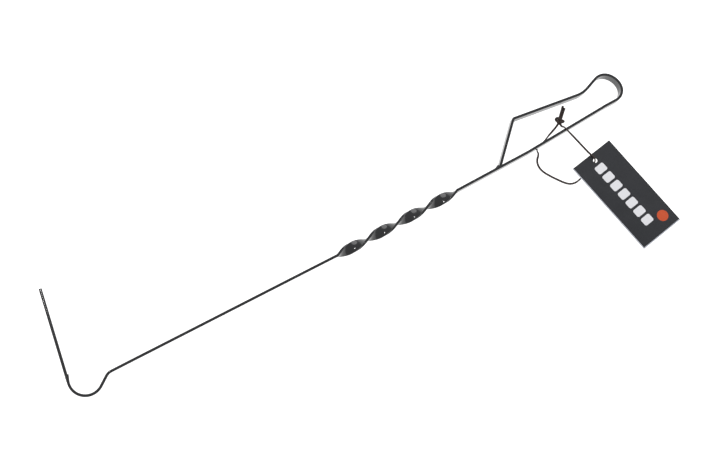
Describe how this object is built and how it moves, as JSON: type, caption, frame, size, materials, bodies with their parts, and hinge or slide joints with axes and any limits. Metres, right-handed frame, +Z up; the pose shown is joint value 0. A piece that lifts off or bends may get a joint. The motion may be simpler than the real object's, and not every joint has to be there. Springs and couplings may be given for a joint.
{
  "type": "marshmallow roasting fork",
  "caption": "Steel bar bent on edge into a hook with a wire tine, a twisted shank and a closed handle, with a card tag tied to the handle.",
  "frame": {"origin": "on the ground, under the middle of the box round the bar and the tine", "axes": "+X along the shank from the hook to the handle, +Y the way the tine points, +Z up from the ground the fork lies on"},
  "size_m": [0.7001, 0.2599, 0.0213],
  "materials": {
    "satin_black_paint": "satin",
    "painted_bead": "satin, a little rough",
    "grey_card": "matt",
    "brown_cord": "matt"
  },
  "bodies": {
    "fork": {"hook_bend": "satin_black_paint", "front_shank": "satin_black_paint", "twisted_shank": "satin_black_paint", "rear_shank": "satin_black_paint", "end_loop": "satin_black_paint", "upper_arm": "satin_black_paint", "left_arm": "satin_black_paint", "tine": "satin_black_paint", "tine_weld": "painted_bead", "handle_weld": "painted_bead", "tag_cord": "brown_cord", "cord_knot": "brown_cord", "cord_tails": "brown_cord"},
    "tag": {"tag_card": "grey_card"}
  },
  "joints": [
    {"name": "tag_swivel", "type": "hinge", "parent": "fork", "child": "tag", "pos_m": [0.28069, -0.08446, 0.00195], "axis": [0, 0, 1], "range_deg": [-60, 60]}
  ]
}
